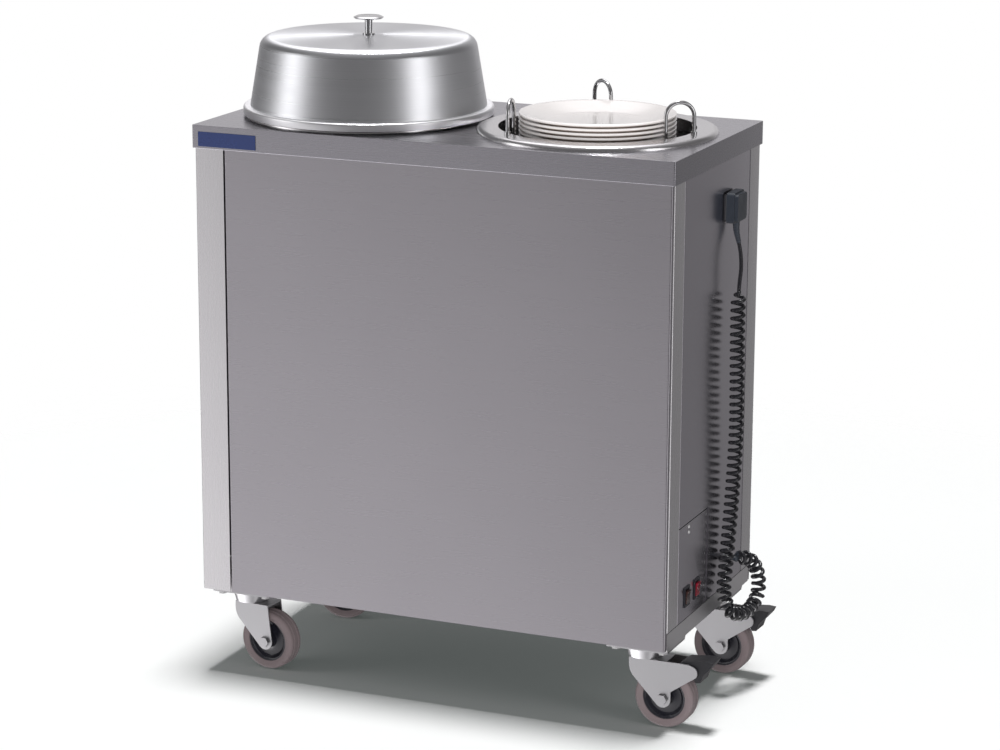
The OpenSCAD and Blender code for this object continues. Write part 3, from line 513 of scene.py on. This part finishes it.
def lead_points():
    """The lead's centreline, from where it leaves the gland to the parked plug."""
    coil = Route(smooth_path(placed(COIL), COIL_STEPS))
    upper = smooth_path(placed(UPPER), UPPER_STEPS)
    straight = LEAD_D
    wound_length = coil.length - 2 * straight
    steps = CURLS * STEPS_A_CURL
    points = [coil.at(0)]
    for i in range(steps + 1):
        wound = i / steps
        s = straight + wound_length * wound
        radius = (CURL_D - LEAD_D) / 2 * min(1, CURL_SWELL * CURLS * wound, CURL_SWELL * CURLS * (1 - wound))
        along = coil.direction(s, LEAD_D / 2)
        side = (Vector((1, 0, 0)) - along.x * along).normalized()
        angle = 2 * math.pi * CURLS * wound
        points.append(coil.at(s) + radius * (math.cos(angle) * side + math.sin(angle) * along.cross(side)))
    points.append(coil.at(coil.length))
    return list(reversed(upper[:-1] + points))


# Strain reliefs and plug
SLEEVE_LEN = 30 * MM
SLEEVE_RIBS = 7
STEPS_A_RIB = 4
PLUG_ROUNDING = 1.6 * MM
# A sleeve's thickness at its tip and at either root, and what a rib and a groove add, in widths of the lead
SLEEVE_TIP = 1.12
GLAND_ROOT = 1.35
PLUG_ROOT = 1.7
RIB_OUT = 0.1
GROOVE_IN = -0.06


def sleeve(name, points, thick):
    """A ribbed strain relief that tapers along the first stretch of the points."""
    route = Route(points)
    steps = SLEEVE_RIBS * STEPS_A_RIB
    places = [SLEEVE_LEN * i / steps for i in range(steps + 1)]
    radii = [
        SLEEVE_TIP + (thick - SLEEVE_TIP) * (1 - s / SLEEVE_LEN)
        + (RIB_OUT if i % STEPS_A_RIB < STEPS_A_RIB / 2 else GROOVE_IN)
        for i, s in enumerate(places)]
    obj = tube(name, [route.at(s) for s in places], LEAD_D / 2, radii)
    return stand_for(obj, "plug_rubber", "case")


def add_lead():
    points = lead_points()
    lead = tube("lead", points, LEAD_D / 2)
    stand_for(lead, "lead_rubber", "case", "lead_upper", "lead_coil")
    pieces = [
        sleeve("gland_sleeve", points, GLAND_ROOT),
        sleeve("plug_sleeve", list(reversed(points)), PLUG_ROOT),
        dressed("mains_plug", "plug_rubber", PLUG_ROUNDING, segments=3)]


# Castors: the way each one's wheel trails from its swivel, in degrees from +X
CASTORS = {"front_left": -6, "front_right": -1, "back_left": 8, "back_right": -2}
WHEEL_R = 50 * MM
TYRE_W = 32 * MM
TYRE_EDGE = 6 * MM
HUB_R = 36 * MM
BOSS_R = 13 * MM
AXLE_R = 6 * MM
FORK_ROUNDING = 0.7 * MM
# Stretches of a wheel's outlines, in millimetres from the places that add_castor gives them
SIDE_FROM_HUB = [(0, 2), (3, 0.6)]
SIDE_TO_EDGE = [(-2, 0)]
TREAD_GROOVE = [(0, 3), (-1, 3.6), (-1, 4.8), (0, 5.4)]
HUB_FROM_AXLE = [(0.1, -18.3)]
HUB_FROM_BOSS = [(-1.5, -18.3), (0, -16.8), (1, -6.5), (3, -5.5)]
HUB_TO_RIM = [(-9, -5.5), (-6, -8), (-4, -12), (-2.5, -13), (-0.2, -13)]


def add_castor(name, turn):
    low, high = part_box("tyre_" + name)
    centre = (low + high) / 2
    axis = (-math.sin(math.radians(turn)), math.cos(math.radians(turn)), 0)
    side = -TYRE_W / 2
    edge = (WHEEL_R - TYRE_EDGE, side + TYRE_EDGE)
    tyre_half = (
        stretch(SIDE_FROM_HUB, HUB_R, side) + stretch(SIDE_TO_EDGE, edge[0], side)
        + arc(edge, TYRE_EDGE, -90, -8, 8) + stretch(TREAD_GROOVE, WHEEL_R, edge[1]))
    hub_half = stretch(HUB_FROM_AXLE, AXLE_R) + stretch(HUB_FROM_BOSS, BOSS_R) + stretch(HUB_TO_RIM, HUB_R)
    for part, half, finish in (("tyre", tyre_half, "tyre_rubber"), ("hub", hub_half, "hub_plastic")):
        turned = lathe(f"{part}_looks_{name}", both_halves(half), centre, axis)
        stand_for(turned, finish, "wheel_" + name, f"{part}_{name}")
    dressed("fork_" + name, "castor_zinc", FORK_ROUNDING)


# Springs of the two wells, wound in place of the CAD's plain cylinders
ARM_AZ = (55, 175, 295)
WELL_TUBE_R = 172 * MM
WELL_TUBE_T = 1.2 * MM
SPRING_R = 6.5 * MM
SPRING_GAP = 2 * MM
SPRING_WIRE_R = 1 * MM
SPRING_PITCH = 5.5 * MM
STEPS_A_TURN = 10
SPRING_END_STEPS = 5


def add_springs(side, sign):
    low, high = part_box("springs_" + side)
    axis = Vector((CASE_X + sign * CASE_W / 4, 0, 0))
    ring = WELL_TUBE_R + WELL_TUBE_T + SPRING_R + SPRING_GAP
    turns = int((high.z - low.z) / SPRING_PITCH)
    steps = turns * STEPS_A_TURN
    for k, az in enumerate(ARM_AZ):
        name = f"spring_{side}_{k + 1}"
        foot = axis + ring * Vector((math.cos(math.radians(az)), math.sin(math.radians(az)), 0))
        points = []
        for i in range(steps + 1):
            angle = 2 * math.pi * turns * i / steps
            reach = (SPRING_R - SPRING_WIRE_R) * min(1, i / SPRING_END_STEPS, (steps - i) / SPRING_END_STEPS)
            points.append(foot + Vector((
                reach * math.cos(angle), reach * math.sin(angle), low.z + (high.z - low.z) * i / steps)))
        wire = tube(name, points, SPRING_WIRE_R, resolution=1)
        mesh = bpy.data.meshes.new_from_object(wire)
        bpy.data.objects.remove(wire)
        spring = link(bpy.data.objects.new(name, mesh))
        paint(spring, "spring_wire")
        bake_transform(spring)
        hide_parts("springs_" + side)


# The plates, each turned from a smooth outline, in millimetres, and standing on the one below
PLATE_R = 127 * MM
PLATE_PITCH = 7.2 * MM
PLATE_COUNT = 12
PLATE_HALF_EDGE = 2.3 * MM
PLATE_EDGE_Z = 19.7 * MM
PLATE_TOP = [(0, 6.9), (76, 6.9), (83, 7.3), (89, 8.9), (100, 13), (112, 17.6), (120, 20.6)]
PLATE_UNDER = [
    (119, 15.2), (104, 9.6), (92, 4.9), (85, 2.7), (80, 2.4), (79, 0.4), (77.5, 0), (72, 0),
    (70.5, 0.5), (69.5, 2.4), (0, 2.4)]


def add_plates():
    low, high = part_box("plate_stack")
    edge = arc((PLATE_R - PLATE_HALF_EDGE, PLATE_EDGE_Z), PLATE_HALF_EDGE, 95, -80, 8)
    outline = stretch(PLATE_TOP) + edge + stretch(PLATE_UNDER)
    for i in range(PLATE_COUNT):
        centre = ((low.x + high.x) / 2, (low.y + high.y) / 2, low.z + i * PLATE_PITCH)
        plate = lathe(f"plate_{i + 1}", outline, centre, steps=128, sharp=60)
        stand_for(plate, "plate_glaze", "plates", "plate_stack")


# The lid's dome, turned with a seat inside and a rolled rim outside its foot
LID_WALL_R = 197 * MM
LID_TOP_R = 179.5 * MM
LID_SEAT_R = 178.5 * MM
LID_H = 124.5 * MM
LID_SHOULDER = 19 * MM
LID_RISE = 2.3 * MM
LID_T = 1.5 * MM
LID_R = 207 * MM
LID_RIM_Z = 9.2 * MM
LID_LIP = 3.5 * MM
LID_ROLL = 4 * MM
RIM_INSIDE_WALL = 2.2 * MM
RIM_OUTSIDE_WALL = 1.5 * MM
LID_STEPS = 160
LID_SHARP = 40
# Shares of the wall's height and of the crown's radius at which the outline has a point
WALL_SHARES = (0.0, 0.08, 0.2, 0.4, 0.6, 0.8, 0.95)
CROWN_SHARES = (0.9, 0.75, 0.6, 0.45, 0.3, 0.15, 0.05)


def lid_skin(inset):
    """The dome's wall and crown from its foot to its middle, inset from the outside."""
    centre = (LID_TOP_R - LID_SHOULDER, LID_H - LID_RISE - LID_SHOULDER)
    shoulder = arc(centre, LID_SHOULDER - inset, 10, 84, 14)
    foot_r = LID_WALL_R - inset
    wall_r, wall_z = shoulder[0]
    wall = [(foot_r + (wall_r - foot_r) * t, wall_z * t) for t in WALL_SHARES]
    edge_r, edge_z = shoulder[-1]
    crown_z = LID_H - inset
    crown = [(edge_r * t, crown_z - (crown_z - edge_z) * t * t) for t in CROWN_SHARES]
    return wall + shoulder + crown


def dome_outline():
    outside = lid_skin(0) + [(0, LID_H)]
    inside = [(0, LID_H - LID_T)] + list(reversed(lid_skin(LID_T)[1:]))
    seat = [(LID_WALL_R - LID_T, LID_T), (LID_SEAT_R, LID_T), (LID_SEAT_R, 0)]
    return outside + inside + seat + outside[:1]


def rim_outline():
    roll = (LID_R - LID_ROLL, LID_RIM_Z - LID_ROLL)
    start = (LID_WALL_R - RIM_INSIDE_WALL, LID_RIM_Z)
    return (
        [start, (LID_WALL_R + RIM_OUTSIDE_WALL, LID_RIM_Z)] + arc(roll, LID_ROLL, 90, 0, 8)
        + [(LID_R, -LID_LIP), (LID_R - LID_T, -LID_LIP)] + arc(roll, LID_ROLL - LID_T, 0, 90, 6)
        + [(start[0], LID_RIM_Z - LID_T), start])


def add_lid():
    low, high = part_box("lid_dome")
    centre = ((low.x + high.x) / 2, (low.y + high.y) / 2, high.z - LID_H)
    for name, outline, finish in (
            ("lid_dome_looks", dome_outline(), "lid_metal"), ("lid_rim_looks", rim_outline(), "rim_metal")):
        turned = lathe(name, outline, centre, steps=LID_STEPS, sharp=LID_SHARP)
        stand_for(turned, finish, "lid", "lid_dome")


# How each plain node is dressed: finish, and the rounding of its edges in millimetres
DRESS = {
    "top_cover": ("cover_steel", 1.4), "front_panel": ("panel_steel", 0), "rear_panel": ("panel_steel", 0),
    "left_end_panel": ("end_steel", 0), "right_end_panel": ("end_steel", 0),
    "control_hatch": ("end_steel", 0), "chassis_base": ("base_steel", 0.3),
    "castor_plates": ("castor_zinc", 0.6), "chassis_fasteners": ("fastener_zinc", 0),
    "hatch_bracket": ("bracket_steel", 0), "hatch_screws": ("fastener_zinc", 0),
    "thermostat": ("thermostat_case", 1), "terminal_block": ("terminal_plastic", 1),
    "rocker_bezels": ("bezel_plastic", 0.5), "rocker_power": ("rocker_dark", 0.5),
    "rocker_heat": ("rocker_red", 0.5), "cable_gland": ("fitting_plastic", 0.5),
    "park_socket": ("fitting_plastic", 0.6), "badge_plate": ("badge_paint", 0.3),
    "lid_knob": ("knob_chrome", 0.3), "pedal_front_right": ("pedal_plastic", 1.2),
    "pedal_back_right": ("pedal_plastic", 1.2),
}
# The same for the nodes that each well has
WELL_DRESS = {
    "well_ring_": ("ring_steel", 0), "well_tube_": ("tube_steel", 0), "heater_": ("heater_sheath", 0),
    "carrier_": ("carrier_steel", 0.3),
}


def add_dressed():
    for node, (finish, rounding) in DRESS.items():
        dressed(node, finish, rounding * MM)
    for node in frame["nodes"]:
        if node.startswith("post_"):
            dressed(node, "post_steel")
        elif node.startswith("guide_"):
            dressed(node, "guide_wire")
    for side in ("left", "right"):
        for node, (finish, rounding) in WELL_DRESS.items():
            dressed(node + side, finish, rounding * MM)


# The studio: a white backdrop, a dim room that metal reflects, and lamps


def glow(tree, direction, azimuth, elevation, inner, outer, gain):
    """How much one soft patch of the studio adds in a direction. Angles are in degrees."""
    az = math.radians(azimuth)
    el = math.radians(elevation)
    dot = new_node(tree, "ShaderNodeVectorMath", operation="DOT_PRODUCT")
    feed(tree, dot.inputs[0], direction)
    feed(tree, dot.inputs[1], (math.cos(az) * math.cos(el), math.sin(az) * math.cos(el), math.sin(el)))
    return map_range(tree, dot.outputs["Value"], math.cos(math.radians(outer)), math.cos(math.radians(inner)),
                     0.0, gain, smooth=True)


BACKDROP_COLOR = (1, 1, 1)
AMBIENT_COLOR = (1.0, 0.99, 1.0)
STUDIO_COLOR = (1.0, 0.98, 1.0)
AMBIENT = 0.10
STUDIO_DIM = 0.15
# Soft patches that the metal reflects: azimuth, elevation, inner and outer radius in degrees, gain
STUDIO_PATCHES = [
    (109, 8, 8, 43, 0.49),
    (224, -50, 15, 57, 1.04),
    (196, -54, 13, 34, 2.5),
    (335, -32, 15, 32, 1.1),
    (215, 8, 6, 16, 1.1),
    (349, 8, 4, 14, 1.45),
    (67, -30, 15, 55, 0.07),
    (67, -55, 10, 38, 0.38),
    (122, 58, 12, 30, 1.45),
    (0, 90, 20, 60, 0.20),
]


def background(tree, color, strength):
    node = new_node(tree, "ShaderNodeBackground")
    feed(tree, node.inputs["Color"], color)
    feed(tree, node.inputs["Strength"], strength)
    return node.outputs[0]


def add_world():
    """The camera sees the backdrop, metal the dim studio, and dull things get a faint ambient light."""
    world = bpy.data.worlds.new("studio")
    bpy.context.scene.world = world
    world.use_nodes = True
    tree = world.node_tree
    tree.nodes.clear()
    rays = new_node(tree, "ShaderNodeLightPath").outputs
    direction = new_node(tree, "ShaderNodeTexCoord").outputs["Generated"]
    level = STUDIO_DIM
    for patch in STUDIO_PATCHES:
        level = math_node(tree, "ADD", level, glow(tree, direction, *patch))
    # Metal reflects the studio but doesn't pass its light on to the floor and other dull things
    direct = math_node(tree, "LESS_THAN", rays["Diffuse Depth"], 0.5)
    reflected = math_node(tree, "MULTIPLY", rays["Is Glossy Ray"], direct)
    unseen = mix_shader(
        tree, reflected, background(tree, AMBIENT_COLOR, AMBIENT), background(tree, STUDIO_COLOR, level))
    seen = math_node(tree, "MAXIMUM", rays["Is Camera Ray"], rays["Is Transmission Ray"])
    whole = mix_shader(tree, seen, unseen, background(tree, BACKDROP_COLOR, 1.0))
    feed(tree, new_node(tree, "ShaderNodeOutputWorld").inputs["Surface"], whole)


# Softboxes: place, target, width, height and power. Metal doesn't reflect the front fill
FRONT_FILL = "softbox_front"
SOFTBOXES = {
    FRONT_FILL: ((1.17, -2.76, 1.05), (0, 0, 0.9), 1.6, 1.0, 92),
    "softbox_left": ((-2.3, -1.2, 1.5), (-0.2, 0, 0.8), 0.8, 1.5, 5),
    "softbox_right": ((2.6, -0.75, 1.5), (0, 0, 0.8), 0.6, 1.6, 4.5),
}
# The overhead key: irradiance, apparent width, and its lean towards the front and the right, in degrees
KEY = (2.75, 10, 2.6, 1.1)
KEY_PLACE = (0, 0, 4)


def add_softbox(name, place, target, width, height, power):
    data = bpy.data.lights.new(name, "AREA")
    data.shape = "RECTANGLE"
    data.size = width
    data.size_y = height
    data.energy = power
    lamp = bpy.data.objects.new(name, data)
    lamp.location = place
    lamp.rotation_euler = (Vector(target) - Vector(place)).to_track_quat("-Z", "Y").to_euler()
    lamp.visible_camera = False
    lamp.visible_glossy = name != FRONT_FILL
    link(lamp)


def add_key(strength, width, forwards, rightwards):
    data = bpy.data.lights.new("key", "SUN")
    data.energy = strength
    data.angle = math.radians(width)
    key = bpy.data.objects.new("key", data)
    key.location = KEY_PLACE
    key.rotation_euler = (math.radians(-forwards), math.radians(rightwards), 0)
    link(key)


# The floor: a matt white disc that fades into the backdrop, with a small greenish glow of its own
FLOOR_R = 2.2
FLOOR_FADE = 1.3
FLOOR_GONE = 2.1
FLOOR_Z = -0.2 * MM
FLOOR_COLOR = (0.95, 0.95, 0.95)
FLOOR_ROUGHNESS = 0.9
FLOOR_GLOW_COLOR = (0.80, 1.0, 0.93)
FLOOR_GLOW = 0.05


def add_floor():
    floor = lathe("floor", [(0, 0), (FLOOR_R, 0)], (CASE_X, 0, FLOOR_Z), steps=96)
    material, tree, shader = new_material(
        "floor", FLOOR_COLOR, FLOOR_ROUGHNESS, Emission_Color=FLOOR_GLOW_COLOR, Emission_Strength=FLOOR_GLOW,
        Specular_IOR_Level=0.0)
    length = new_node(tree, "ShaderNodeVectorMath", operation="LENGTH")
    feed(tree, length.inputs[0], new_node(tree, "ShaderNodeTexCoord").outputs["Object"])
    fade = map_range(tree, length.outputs["Value"], FLOOR_FADE, FLOOR_GONE, 0.0, 1.0, smooth=True)
    clear = new_node(tree, "ShaderNodeBsdfTransparent")
    surface = mix_shader(tree, fade, shader.outputs[0], clear.outputs[0])
    feed(tree, tree.nodes["Material Output"].inputs["Surface"], surface)
    floor.data.materials.append(material)
    floor.visible_glossy = False
    return floor


def spare_floor(floor):
    """Keeps the front fill off the floor, so that the shadow stays deep."""
    spared = bpy.data.collections.new("spared_by_fill")
    spared.objects.link(floor)
    bpy.data.objects[FRONT_FILL].light_linking.receiver_collection = spared
    for entry in spared.collection_objects:
        entry.light_linking.link_state = "EXCLUDE"


add_camera()
add_lead()
add_dressed()
for castor, castor_turn in CASTORS.items():
    add_castor(castor, castor_turn)
add_springs("left", -1)
add_springs("right", 1)
add_plates()
add_lid()
add_world()
for softbox, setting in SOFTBOXES.items():
    add_softbox(softbox, *setting)
add_key(*KEY)
spare_floor(add_floor())
bpy.context.scene.view_settings.view_transform = "Standard"
